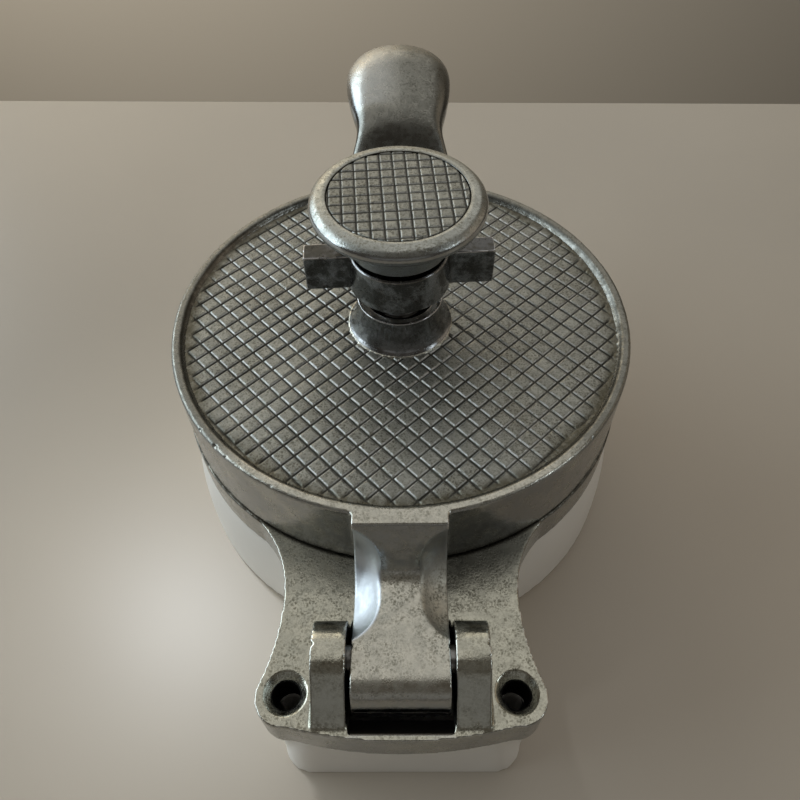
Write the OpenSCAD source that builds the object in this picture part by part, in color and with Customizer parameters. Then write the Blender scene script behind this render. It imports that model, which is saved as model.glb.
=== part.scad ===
// Adjustable hamburger press with a hinged lid, a sliding plunger and a winged depth collar.
// Millimetres. The origin is on the plunger's axis at the underside of the pedestal,
// +Z is up and +Y runs from the hinge towards the lid's handle.

/* [Mould ring] */
// Outside radius of the lid's ring
ring_r = 62.5; // [55:0.5:70]
// Thickness of the ring's wall
ring_wall = 3; // [2.5:0.1:4]
// Depth of the top deck below the rim
deck_drop = 1.5; // [1:0.1:2]
// Thickness of the deck
deck_t = 3.5; // [3:0.1:4]
// Height of the lid's ring
ring_h = 22.5; // [22:0.5:25]

/* [Base] */
// Outside radius of the base casting
base_r = 63; // [55.5:0.5:70.5]
// Height of the base casting's skirt
base_h = 12; // [10:0.5:14]
// Height of the pedestal under the casting
pedestal_h = 29.2; // [20:0.2:40]
// How far the pedestal flares out towards the table
flare = 2.9; // [0:0.1:4]

/* [Hinge] */
// Distance of the hinge pin from the plunger's axis
pin_y = 87.5; // [87:0.5:88]
// Radius of the hinge pin
pin_r = 3; // [2:0.1:3.2]
// Width of the lid's arm between the ears
arm_w = 22; // [18:0.5:22]
// Thickness of each ear
ear_t = 7.6; // [6:0.2:8]
// Radius of the ears round the pin
ear_r = 8.2; // [7:0.1:8.4]

/* [Mounting holes] */
// Distance between the two screw holes
hole_pitch = 51.6; // [50:0.2:52]
// Distance of the screw holes from the plunger's axis
hole_y = 94.1; // [93:0.1:95]
// Radius of the screw holes
hole_r = 3.2; // [2:0.1:3.4]

/* [Plunger] */
// Radius of the stem
stem_r = 6; // [5:0.1:7]
// Thickness of the press plate
plate_t = 4; // [3:0.5:4]
// Radius of the knob
knob_r = 21.2; // [18:0.2:24]
// Radius of the knob's hub
hub_r = 12.5; // [11:0.1:13]

/* [Depth collar] */
// Height of the collar
collar_h = 10.4; // [9:0.1:11]
// Radius of the collar at its lower edge
collar_r = 13.2; // [12:0.1:14]
// Distance from the axis to the end of each wing
wing_reach = 24; // [20:0.5:28]
// Thickness of the wings
wing_t = 5.4; // [4:0.1:6]
// Turn of the wings away from the X axis, in degrees
wing_turn = 3; // [-90:1:90]

/* [Handle] */
// Distance from the plunger's axis to the handle's end
handle_end = 124; // [120:1:130]
// Sideways offset of the handle's end, as the casting is slightly out of true
handle_lean = -0.7; // [-2:0.1:2]

/* [Hidden] */
$fn = 96;
eps = 0.01;

base_top = pedestal_h + base_h;
parting = 0.3;
ring_z = base_top + parting;
rim_z = ring_z + ring_h;
deck_z = rim_z - deck_drop;
cavity_r = ring_r - ring_wall;

pin_z = base_top + 2.8;
pin_play = 0.05;
ear_gap = 1;
ear_in = arm_w / 2 + ear_gap;
slot_w = arm_w / 2 + 0.6;
slot_front = 102.7;
slot_back = 77.8;
barrel_r = 7.2;
barrel_low = 6;

boss_low_r = 13.85;
boss_top_r = 11.4;
boss_z = rim_z + 8.1;
boss_recess_r = 9.2;
boss_recess = 3;
guide_play = 0.05;

plate_r = cavity_r - 0.4;
plate_z = ring_z;
plate_hub_r = 14;
plate_hub = 1;
stem_low = plate_z + 2.5;
stem_top = boss_z + 27;

collar_z = boss_z + 5.5;
collar_top_r = collar_r - 0.5;
washer_r = 10;
washer_t = 1.2;
washer_play = 0.1;

hub_z = collar_z + collar_h + 1.4;
knob_low = hub_z + 9.9;
knob_top = hub_z + 14.9;

wall = 4;
pan_wall = 3;
screw_r = 2;
screw_ring = 45;
screw_angles = [90, 210, 330];
screw_seat = 18;
screw_grip = 6.5;
head_r = 3.6;
head_h = 3.2;
post_r = 5;
hole_post_r = 5.2;

cast = [0.66, 0.66, 0.61];
bright = [0.74, 0.74, 0.73];
steel = [0.55, 0.55, 0.56];
pale = [0.86, 0.84, 0.80];

// Points along a circular arc
function arc(c, r, from, to, n = 10) =
    [for (i = [0:n]) let (a = from + (to - from) * i / n) [c[0] + r * cos(a), c[1] + r * sin(a)]];

// Smooth step from 0 to 1
function ease(t) = t <= 0 ? 0 : t >= 1 ? 1 : t * t * (3 - 2 * t);

// A turned shape round the Z axis
module turned(points) {
    rotate_extrude() polygon(points);
}

// ---- base casting ----

// Half of the hinge plate's outline: ring side, waist, flared corner and bowed front
plate_waist = 28.3;
waist_y = 72;
upper_bend = 30;
lower_bend = 55;
corner_r = 7;
corner_x = 25.7;
corner_y = 94.5;
front_bend = 110;
front_y = 104.3;

function plate_side(inset) = concat(
    arc([plate_waist + upper_bend, -waist_y], upper_bend + inset, 130, 180),
    arc([plate_waist + lower_bend, -waist_y], lower_bend + inset, 182, 200),
    arc([corner_x, -corner_y], corner_r - inset, 8, -72),
    arc([0, front_bend - front_y], front_bend - inset, -77, -90, 6));

function flipped(points) = [for (i = [len(points) - 1:-1:0]) [-points[i][0], points[i][1]]];

module plate_outline(inset = 0) {
    polygon(concat(plate_side(inset), flipped(plate_side(inset)), [[0, -20]]));
}

module ear(side) {
    profile = concat(
        arc([-pin_y, pin_z], ear_r, 0, 135, 18),
        [[-pin_y - ear_r * sqrt(2) - (pin_z - base_top), base_top], [-pin_y - ear_r, base_top - 2],
            [-pin_y + ear_r, base_top - 2]]);
    translate([side > 0 ? ear_in : -ear_in - ear_t, 0, 0])
        rotate([90, 0, 90]) linear_extrude(ear_t) polygon(profile);
}

module screw_hole(side) {
    translate([side * hole_pitch / 2, -hole_y, 0]) {
        translate([0, 0, pedestal_h - 1]) cylinder(h = base_h + 2, r = hole_r);
        translate([0, 0, base_top - 2]) cylinder(h = 2 + eps, r1 = hole_r, r2 = hole_r + 1.8);
    }
}

module base_casting() {
    color(cast) difference() {
        union() {
            translate([0, 0, pedestal_h]) linear_extrude(base_h) plate_outline();
            translate([0, 0, pedestal_h]) cylinder(h = base_h, r = base_r, $fn = 128);
            for (side = [-1, 1]) ear(side);
        }
        difference() {
            union() {
                translate([0, 0, pedestal_h - 1]) cylinder(h = base_h - wall + 1, r = base_r - wall);
                translate([0, 0, pedestal_h - 1]) linear_extrude(base_h - wall + 1) plate_outline(3);
            }
            for (a = screw_angles) rotate(a) translate([screw_ring, 0, pedestal_h - 2])
                cylinder(h = base_h, r = post_r);
            for (side = [-1, 1]) translate([side * hole_pitch / 2, -hole_y, pedestal_h - 2])
                cylinder(h = base_h, r = hole_post_r);
        }
        translate([-slot_w, -slot_front, pedestal_h - 1])
            cube([2 * slot_w, slot_front - slot_back, base_h + 2]);
        for (side = [-1, 1]) screw_hole(side);
        for (a = screw_angles) rotate(a) translate([screw_ring, 0, pedestal_h - 1])
            cylinder(h = 8, r = screw_r);
        translate([-ear_in - ear_t - 1, -pin_y, pin_z]) rotate([0, 90, 0])
            cylinder(h = 2 * (ear_in + ear_t + 1), r = pin_r);
    }
}

// ---- pedestal ----

function skirt(inset) = [for (i = [0:12]) let (t = i / 12)
    [base_r - 0.4 + flare * (1 - t * t * t) - inset, pedestal_h * t]];

module foot_slab(half, front, z, h) {
    hull() for (side = [-1, 1]) {
        translate([side * (half - 7), -front + 7, z]) cylinder(h = h, r = 7, $fn = 32);
        translate([side * (half - 1), -40, z]) cylinder(h = h, r = 1, $fn = 32);
    }
}

module foot(inset, z0, z1) {
    hull() {
        foot_slab(28 + flare - inset, 99.6 + flare - inset, z0, 0.1);
        foot_slab(28 - inset, 99.6 - inset, z1 - 0.1, 0.1);
    }
}

module pedestal() {
    color(pale) difference() {
        union() {
            turned(concat([[0, 0]], skirt(0), [[0, pedestal_h]]));
            foot(0, 0, pedestal_h);
            for (side = [-1, 1]) translate([side * hole_pitch / 2, -hole_y, 0])
                cylinder(h = pedestal_h, r = hole_post_r);
        }
        difference() {
            union() {
                translate([0, 0, pan_wall]) cylinder(h = pedestal_h, r = base_r - 0.4 - pan_wall);
                foot(pan_wall, pan_wall, pedestal_h + 1);
            }
            for (a = screw_angles) rotate(a) translate([screw_ring, 0, 0])
                cylinder(h = pedestal_h, r = post_r);
            for (side = [-1, 1]) translate([side * hole_pitch / 2, -hole_y, 0])
                cylinder(h = pedestal_h, r = hole_post_r);
        }
        for (side = [-1, 1]) translate([side * hole_pitch / 2, -hole_y, -1])
            cylinder(h = pedestal_h + 2, r = hole_r);
        for (a = screw_angles) rotate(a) translate([screw_ring, 0, -1]) {
            cylinder(h = pedestal_h + 2, r = screw_r);
            cylinder(h = screw_seat + 1, r = head_r + 0.2);
        }
    }
}

module pedestal_screws() {
    color(steel) for (a = screw_angles) rotate(a) translate([screw_ring, 0, 0]) difference() {
        union() {
            translate([0, 0, screw_seat - head_h]) cylinder(h = head_h, r = head_r);
            translate([0, 0, screw_seat]) cylinder(h = pedestal_h - screw_seat + screw_grip, r = screw_r);
        }
        translate([0, 0, screw_seat - head_h - 1]) cylinder(h = 2.7, r = head_r / 2, $fn = 6);
    }
}

// ---- hinge pin ----

module hinge_pin() {
    length = 2 * (ear_in + ear_t);
    edge = 0.5;
    color(steel) translate([-length / 2, -pin_y, pin_z]) rotate([0, 90, 0])
        turned([[0, 0], [pin_r - edge, 0], [pin_r, edge], [pin_r, length - edge],
            [pin_r - edge, length], [0, length]]);
}

// ---- lid casting ----

// Half width, top and underside of the handle against its distance from the axis
handle_half = [[60, 17.4], [72, 17.8], [75, 17.3], [78, 16], [81, 14.8], [83.5, 14.5], [86, 15.2],
    [89, 16.2], [93, 17.2], [97, 17.9], [101, 18.4], [105, 18.6], [109, 18.1], [113, 16.5],
    [117, 13.9], [120.5, 10.2], [123, 5.8], [124, 1]];
handle_top = [[60, -0.4], [70, -0.8], [73, -0.2], [76, 3], [79, 7], [81.5, 9.4], [85, 12], [90, 14.9],
    [96, 17.6], [102, 19.4], [107, 19.9], [112, 19.2], [116, 17.6], [120, 15], [122.5, 12.4], [124, 10]];
handle_under = [[60, -19], [67, -15], [73, -10], [80, -5.2], [88, -2.2], [96, -1.4], [104, -1.4],
    [112, 0], [118, 2.8], [122, 6.5], [124, 9.4]];
handle_rings = 32;
handle_sides = 28;

handle_start = 60;
handle_span = 64;

// Distance of each ring from the axis: the rings come closer together towards the tip
function handle_y(i) = let (u = 1 - i / handle_rings)
    handle_start + (handle_end - handle_start) * (1 - u * (0.65 + 0.35 * u));

function squared(v, p) = sign(v) * pow(abs(v), p);

function handle_ring(i) = let (
    y = handle_y(i),
    s = handle_start + (y - handle_start) * handle_span / (handle_end - handle_start),
    half = lookup(s, handle_half),
    top = lookup(s, handle_top),
    under = lookup(s, handle_under),
    lean = handle_lean * ease((s - 66) / 40),
    p = 0.55 + 0.45 * ease((s - 74) / 30))
    [for (k = [0:handle_sides - 1]) let (a = 360 * k / handle_sides)
        [lean + half * squared(cos(a), p), y,
            rim_z + (top + under) / 2 + (top - under) / 2 * squared(sin(a), p)]];

module handle() {
    n = handle_sides;
    rings = [for (i = [0:handle_rings]) each handle_ring(i)];
    last = handle_rings * n;
    faces = concat(
        [[for (k = [n - 1:-1:0]) k]],
        [[for (k = [0:n - 1]) last + k]],
        [for (i = [0:handle_rings - 1], k = [0:n - 1])
            let (a = i * n + k, b = i * n + (k + 1) % n) [a, b, b + n, a + n]]);
    polyhedron(points = rings, faces = faces, convexity = 6);
}

// The arm's flat, its rounded end and the spherical scoops in both of its top edges
flat_z = rim_z - 14.4;
arm_end = 98.7;
scoop_r = 12.7;
scoop_x = 15.3;
scoop_y = 75.5;
scoop_rise = 7;

module arm() {
    nose = [-arm_end + barrel_r, flat_z - barrel_r];
    low = pin_z - barrel_low;
    profile = concat(
        [[-58, rim_z - 5], [-58, rim_z - 2], [-61, rim_z], [-64.3, rim_z], [-70.4, flat_z + 1.4],
            [-72.4, flat_z + 0.3], [-75, flat_z]],
        arc(nose, barrel_r, 90, 180, 12),
        arc([-arm_end + 2.5, low + 2.5], 2.5, 180, 270, 5),
        [[-79.5, low], [-78.9, ring_z + 0.4], [-58, ring_z + 0.4]]);
    difference() {
        translate([-arm_w / 2, 0, 0]) rotate([90, 0, 90]) linear_extrude(arm_w) polygon(profile);
        for (side = [-1, 1]) translate([side * scoop_x, -scoop_y, flat_z + scoop_rise])
            sphere(r = scoop_r, $fn = 64);
    }
}

module lid_casting() {
    color(cast) difference() {
        union() {
            turned([[cavity_r, ring_z], [ring_r, ring_z], [ring_r, rim_z - 0.6], [ring_r - 0.6, rim_z],
                [ring_r - 2.2, rim_z], [ring_r - 2.6, rim_z - 0.4], [ring_r - 3.4, deck_z],
                [boss_low_r, deck_z], [boss_top_r + 0.2, boss_z - 0.6], [boss_top_r - 0.4, boss_z],
                [stem_r + guide_play, boss_z], [stem_r + guide_play, deck_z - deck_t],
                [cavity_r, deck_z - deck_t]]);
            difference() {
                union() {
                    arm();
                    handle();
                }
                translate([0, 0, ring_z - 1]) cylinder(h = ring_h + 3, r = ring_r - 1);
            }
        }
        translate([0, 0, boss_z - boss_recess]) cylinder(h = boss_recess + 1, r = boss_recess_r);
        translate([-arm_w, -pin_y, pin_z]) rotate([0, 90, 0])
            cylinder(h = 2 * arm_w, r = pin_r + pin_play);
    }
}

// ---- plunger ----

module press_plate() {
    color(bright) difference() {
        turned([[0, plate_z], [plate_r - 0.8, plate_z], [plate_r, plate_z + 0.8],
            [plate_r, plate_z + plate_t - 0.8], [plate_r - 0.8, plate_z + plate_t],
            [plate_hub_r, plate_z + plate_t], [plate_hub_r - 1, plate_z + plate_t + plate_hub],
            [0, plate_z + plate_t + plate_hub]]);
        translate([0, 0, stem_low]) cylinder(h = 20, r = stem_r);
        translate([0, 0, plate_z - eps]) cylinder(h = 2, r1 = 5, r2 = 3);
        translate([0, 0, plate_z - 1]) cylinder(h = 5, r = 3);
    }
}

module plunger_stem() {
    color(steel) difference() {
        turned([[0, stem_low], [stem_r, stem_low], [stem_r, stem_top - 0.8], [stem_r - 0.8, stem_top],
            [0, stem_top]]);
        translate([0, 0, stem_low - 1]) cylinder(h = 13, r = 3);
    }
}

module plate_screw() {
    color(steel) difference() {
        turned([[0, plate_z + 0.2], [4.7, plate_z + 0.2], [3, plate_z + 2], [3, plate_z + 13],
            [0, plate_z + 13]]);
        translate([-0.6, -6, plate_z - 1]) cube([1.2, 12, 2]);
    }
}

module knob() {
    edge = knob_low + 2.1;
    color(bright) difference() {
        turned(concat([[0, hub_z], [hub_r - 0.4, hub_z], [hub_r, hub_z + 0.4], [hub_r, knob_low - 2],
            [hub_r + 1.2, knob_low - 0.6], [hub_r + 4, knob_low + 0.2]],
            arc([knob_r - 2, edge], 2, -80, 60, 10),
            [[knob_r - 2.4, knob_top - 0.45], [knob_r - 4.2, knob_top], [0, knob_top]]));
        translate([0, 0, hub_z - 1]) cylinder(h = stem_top - hub_z + 1, r = stem_r);
        translate([0, 0, hub_z + 5]) rotate([-90, 0, 0]) cylinder(h = knob_r, r = screw_r);
    }
}

module knob_set_screw() {
    color(steel) translate([0, stem_r, hub_z + 5]) rotate([-90, 0, 0]) difference() {
        cylinder(h = hub_r - stem_r - 0.6, r = screw_r);
        translate([0, 0, hub_r - stem_r - 2.6]) cylinder(h = 3, r = 1, $fn = 6);
    }
}

// ---- depth collar ----

module collar_washer() {
    color(steel) turned([[stem_r + 0.1, collar_z], [washer_r, collar_z], [washer_r, collar_z + washer_t],
        [stem_r + 0.1, collar_z + washer_t]]);
}

module wing_collar() {
    rise = washer_t + washer_play;
    color(bright) difference() {
        union() {
            turned([[0, collar_z], [collar_r - 0.4, collar_z], [collar_r, collar_z + 0.4],
                [collar_top_r, collar_z + collar_h - 0.4], [collar_top_r - 0.4, collar_z + collar_h],
                [0, collar_z + collar_h]]);
            rotate(wing_turn) translate([-wing_reach, -wing_t / 2, collar_z])
                cube([2 * wing_reach, wing_t, collar_h]);
        }
        translate([0, 0, collar_z - 1]) cylinder(h = collar_h + 2, r = stem_r + guide_play);
        translate([0, 0, collar_z - 1]) cylinder(h = rise + 1, r = washer_r + washer_play);
    }
}

base_casting();
pedestal();
pedestal_screws();
hinge_pin();
lid_casting();
press_plate();
plunger_stem();
plate_screw();
knob();
knob_set_screw();
collar_washer();
wing_collar();
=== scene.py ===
"""Looks of the adjustable hamburger press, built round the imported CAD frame.

Lengths are in millimetres and are turned into metres where a mesh or a material is made. Those of the
lights and the camera are in metres.
"""

import math

import bmesh
import bpy
import numpy as np
from mathutils import Matrix, Vector


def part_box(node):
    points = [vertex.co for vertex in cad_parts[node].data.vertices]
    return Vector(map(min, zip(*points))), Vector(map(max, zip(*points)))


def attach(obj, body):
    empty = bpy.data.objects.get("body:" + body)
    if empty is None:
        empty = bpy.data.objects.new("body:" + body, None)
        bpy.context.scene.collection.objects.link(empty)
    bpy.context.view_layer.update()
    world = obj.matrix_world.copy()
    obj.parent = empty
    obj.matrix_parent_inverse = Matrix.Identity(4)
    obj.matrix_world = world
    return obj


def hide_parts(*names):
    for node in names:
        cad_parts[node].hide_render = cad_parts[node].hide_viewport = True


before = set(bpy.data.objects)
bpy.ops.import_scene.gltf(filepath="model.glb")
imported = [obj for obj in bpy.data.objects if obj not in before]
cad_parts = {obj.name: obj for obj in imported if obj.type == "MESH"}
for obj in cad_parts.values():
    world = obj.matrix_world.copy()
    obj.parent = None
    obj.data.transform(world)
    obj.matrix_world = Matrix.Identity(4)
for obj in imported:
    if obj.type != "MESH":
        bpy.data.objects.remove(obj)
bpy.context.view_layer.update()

MM = 0.001


def box_mm(node):
    """Lowest and highest corner of a CAD node, in millimetres."""
    lo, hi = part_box(node)
    return np.array(lo) / MM, np.array(hi) / MM


# ---- levels and sizes, measured from the frame or matching the CAD's own values ----

RING_Z = box_mm("press_plate")[0][2]
RIM_Z = RING_Z + 22.5
DECK_Z = RIM_Z - 1.5
BOSS_Z = RIM_Z + 8.1
BASE_TOP = RING_Z - 0.3
BASE_LOW = box_mm("base_casting")[0][2]
RING_R = 62.5
DECK_R = RING_R - 3.4
BOSS_FOOT_R = 14.6
HUB_Z = box_mm("knob")[0][2]
KNOB_TOP = box_mm("knob")[1][2]
KNOB_R = box_mm("knob")[1][0]
STEM_LOW = box_mm("plunger_stem")[0][2]
STEM_TOP = box_mm("plunger_stem")[1][2]
STEM_R = box_mm("plunger_stem")[1][0]
THREAD_PITCH = 1.75
PIN_Y = -87.5
PIN_Z = BASE_TOP + 2.8
ARM_HALF = 11.0
SCOOP = (15.3, -75.5, RIM_Z - 7.4)
SCOOP_R = 12.7
EAR_OUT = 19.6
NOSE_Y, NOSE_Z = -98.0, 38.6
LIP_Z = 42.6
SCREW_X, SCREW_Y = 25.8, -94.1
WAIST_Y, BLOCK_Y = -58, -62
SLOT_HALF, SLOT_FRONT, SLOT_BACK = 12.2, -103.2, -77.2
NOTCH = 0.75
DECK_PITCH = 4.215
KNOB_PITCH = 3.17
GRID_R = 16.65


# ---- mesh helpers ----


def noise3(points, size, seed):
    """Smooth value noise between -1 and 1 at points (n, 3), with features of the given size."""
    q = points / size + seed * 17.31
    cell = np.floor(q).astype(np.int64)
    f = q - cell
    f = f * f * (3 - 2 * f)
    total = np.zeros(len(points))
    for corner in range(8):
        d = np.array([corner & 1, corner >> 1 & 1, corner >> 2 & 1])
        c = cell + d
        h = (c[:, 0] * 73856093) ^ (c[:, 1] * 19349663) ^ (c[:, 2] * 83492791) ^ (seed * 97531)
        h = ((h ^ (h >> 13)) * 1274126177) & 0xFFFFFFFF
        h = ((h ^ (h >> 16)) * 2246822519) & 0xFFFFFFFF
        value = (h >> 8 & 0xFFFF) / 32767.5 - 1
        weight = np.prod(np.where(d, f, 1 - f), axis=1)
        total += value * weight
    return total


def step(a, b, x):
    """0 below a, 1 above b, smooth between."""
    t = np.clip((x - a) / (b - a), 0, 1)
    return t * t * (3 - 2 * t)


def new_object(name, verts, faces):
    """A smooth-shaded mesh object from points in millimetres."""
    mesh = bpy.data.meshes.new(name)
    mesh.from_pydata((np.asarray(verts) * MM).tolist(), [], faces)
    mesh.update()
    obj = bpy.data.objects.new(name, mesh)
    bpy.context.scene.collection.objects.link(obj)
    mesh.polygons.foreach_set("use_smooth", [True] * len(mesh.polygons))
    return obj


def get_points(obj):
    co = np.zeros(len(obj.data.vertices) * 3)
    obj.data.vertices.foreach_get("co", co)
    return co.reshape(-1, 3) / MM


def get_normals(obj):
    no = np.zeros(len(obj.data.vertices) * 3)
    obj.data.vertices.foreach_get("normal", no)
    return no.reshape(-1, 3)


def set_points(obj, points):
    obj.data.vertices.foreach_set("co", (points * MM).ravel())
    obj.data.update()


def set_layer(obj, name, values):
    """A number per vertex that the materials read."""
    layer = obj.data.attributes.new(name, "FLOAT", "POINT")
    layer.data.foreach_set("value", np.asarray(values, dtype=np.float32))


def applied(obj):
    """Applies the object's modifiers."""
    graph = bpy.context.evaluated_depsgraph_get()
    mesh = bpy.data.meshes.new_from_object(obj.evaluated_get(graph))
    obj.modifiers.clear()
    obj.data = mesh
    mesh.polygons.foreach_set("use_smooth", [True] * len(mesh.polygons))
    return obj


def carve(obj, cutters):
    """Cuts the cutters out of the object."""
    for cutter in cutters:
        mod = obj.modifiers.new("cut", "BOOLEAN")
        mod.operation = "DIFFERENCE"
        mod.solver = "EXACT"
        mod.object = cutter
    applied(obj)
    for cutter in cutters:
        bpy.data.objects.remove(cutter)
    return obj


def copy_of(name, node):
    """A welded copy of a CAD node's mesh."""
    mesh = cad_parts[node].data.copy()
    mesh.materials.clear()
    obj = bpy.data.objects.new(name, mesh)
    bpy.context.scene.collection.objects.link(obj)
    work = bmesh.new()
    work.from_mesh(mesh)
    bmesh.ops.remove_doubles(work, verts=work.verts, dist=2e-6)
    work.to_mesh(mesh)
    work.free()
    return obj


def cast(obj, voxel, smooth):
    """Remeshes a piece evenly and softens its edges, as casting does."""
    mod = obj.modifiers.new("remesh", "REMESH")
    mod.mode = "VOXEL"
    mod.voxel_size = voxel * MM
    mod = obj.modifiers.new("smooth", "SMOOTH")
    mod.factor = 0.5
    mod.iterations = smooth
    return applied(obj)


def edge_pairs(obj):
    edges = np.zeros(len(obj.data.edges) * 2, dtype=np.int64)
    obj.data.edges.foreach_get("vertices", edges)
    return edges.reshape(-1, 2)


def averaged(values, edges, rounds):
    """Averages a number per vertex with its neighbours."""
    count = np.bincount(edges.ravel(), minlength=len(values)).clip(1)
    for _ in range(rounds):
        total = np.bincount(edges[:, 0], values[edges[:, 1]], len(values))
        total += np.bincount(edges[:, 1], values[edges[:, 0]], len(values))
        values = 0.5 * values + 0.5 * total / count
    return values


def mark_edges(obj, size):
    """Layers "edge" and "hollow": how sharply the surface bends outward and inward over a size."""
    points, normals, edges = get_points(obj), get_normals(obj), edge_pairs(obj)
    a, b = edges[:, 0], edges[:, 1]
    d = points[b] - points[a]
    bend_a = -(d * normals[a]).sum(1) / (d * d).sum(1).clip(1e-6)
    bend_b = (d * normals[b]).sum(1) / (d * d).sum(1).clip(1e-6)
    total = np.bincount(a, bend_a, len(points)) + np.bincount(b, bend_b, len(points))
    bend = total / np.bincount(edges.ravel(), minlength=len(points)).clip(1) * 2 * size
    bend = averaged(bend, edges, 5)
    set_layer(obj, "edge", np.clip(bend, 0, 1))
    set_layer(obj, "hollow", np.clip(-bend, 0, 1))


def rounded(points, turn=0.2):
    """A profile (r, z, corner radius) with its corners rounded."""
    out = []
    last = len(points) - 1
    for i, (x, y, radius) in enumerate(points):
        p = np.array((x, y))
        if radius <= 0 or i in (0, last):
            out.append((x, y))
            continue
        u = np.array(points[i - 1][:2]) - p
        v = np.array(points[i + 1][:2]) - p
        lu, lv = np.linalg.norm(u), np.linalg.norm(v)
        u, v = u / lu, v / lv
        angle = math.acos(np.clip(u @ v, -1, 1))
        if angle > math.pi - 0.03:
            out.append((x, y))
            continue
        reach = min(radius / math.tan(angle / 2), 0.49 * lu, 0.49 * lv)
        radius = reach * math.tan(angle / 2)
        centre = p + (u + v) / np.linalg.norm(u + v) * radius / math.sin(angle / 2)
        s, e = p + u * reach - centre, p + v * reach - centre
        a0 = math.atan2(s[1], s[0])
        da = (math.atan2(e[1], e[0]) - a0 + math.pi) % (2 * math.pi) - math.pi
        n = max(3, int(abs(da) / turn) + 1)
        for k in range(n + 1):
            a = a0 + da * k / n
            out.append((centre[0] + radius * math.cos(a), centre[1] + radius * math.sin(a)))
    return out


def turned(name, profile, sides=192):
    """A closed turned shape round the plunger's axis.

    The profile runs from the axis to the axis, or is a loop.
    """
    loop = profile[0][0] > 1e-6
    around = [2 * math.pi * k / sides for k in range(sides)]
    verts, rows = [], []
    for r, z in profile:
        if r < 1e-6:
            rows.append([len(verts)] * sides)
            verts.append((0, 0, z))
        else:
            rows.append(list(range(len(verts), len(verts) + sides)))
            verts += [(r * math.cos(a), r * math.sin(a), z) for a in around]
    pairs = list(zip(rows, rows[1:] + rows[:1])) if loop else list(zip(rows, rows[1:]))
    faces = []
    for low, high in pairs:
        for k in range(sides):
            j = (k + 1) % sides
            face = [low[k], low[j], high[j], high[k]]
            faces.append(list(dict.fromkeys(face)))
    return new_object(name, verts, [f for f in faces if len(f) > 2])


def block(name, lo, hi):
    """A plain cutter block."""
    v = [(x, y, z) for x in (lo[0], hi[0]) for y in (lo[1], hi[1]) for z in (lo[2], hi[2])]
    f = [(0, 1, 3, 2), (4, 6, 7, 5), (0, 4, 5, 1), (2, 3, 7, 6), (0, 2, 6, 4), (1, 5, 7, 3)]
    return new_object(name, v, f)


def prism(name, outline, z0, z1):
    """A cutter with the given outline (x, y) between two heights."""
    n = len(outline)
    v = [(x, y, z0) for x, y in outline] + [(x, y, z1) for x, y in outline]
    f = [list(range(n))[::-1], list(range(n, 2 * n))]
    f += [[k, (k + 1) % n, n + (k + 1) % n, n + k] for k in range(n)]
    return new_object(name, v, f)


def groove_lines(reach, pitch, half):
    """Mesh lines across a field of grooves: seven in each groove and four on each pad."""
    flat = pitch - 2 * half
    lines = []
    for k in range(-int(reach / pitch) - 1, int(reach / pitch) + 2):
        lines += [k * pitch + t * half for t in (-1, -0.72, -0.3, 0, 0.3, 0.72, 1)]
        lines += [k * pitch + half + flat * t for t in (0.1, 0.37, 0.63, 0.9)]
    return np.array(sorted(lines))


def from_groove(place, pitch):
    """Distance from the middle of the nearest groove."""
    return np.abs((place + pitch / 2) % pitch - pitch / 2)


def groove_shape(place, pitch, half):
    """A V groove across its width, 0 on the pads and 1 at the bottom."""
    wall = np.clip(1 - from_groove(place, pitch) / half, 0, 1)
    return wall * 0.9 + 0.1 * np.sqrt(wall)


def close_below(obj, low):
    """Drops a wall from the open border of a sheet to a level and fills its bottom."""
    work = bmesh.new()
    work.from_mesh(obj.data)
    bmesh.ops.remove_doubles(work, verts=work.verts, dist=1e-6)
    bmesh.ops.dissolve_degenerate(work, edges=work.edges, dist=1e-6)
    border = [e for e in work.edges if e.is_boundary]
    side_wall = bmesh.ops.extrude_edge_only(work, edges=border)["geom"]
    for vert in (g for g in side_wall if isinstance(g, bmesh.types.BMVert)):
        vert.co.z = low * MM
    rim = [g for g in side_wall if isinstance(g, bmesh.types.BMEdge)]
    bmesh.ops.triangle_fill(work, edges=[e for e in rim if e.is_boundary], use_beauty=True)
    bmesh.ops.recalc_face_normals(work, faces=work.faces)
    work.to_mesh(obj.data)
    work.free()
    obj.data.polygons.foreach_set("use_smooth", [True] * len(obj.data.polygons))


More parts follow.
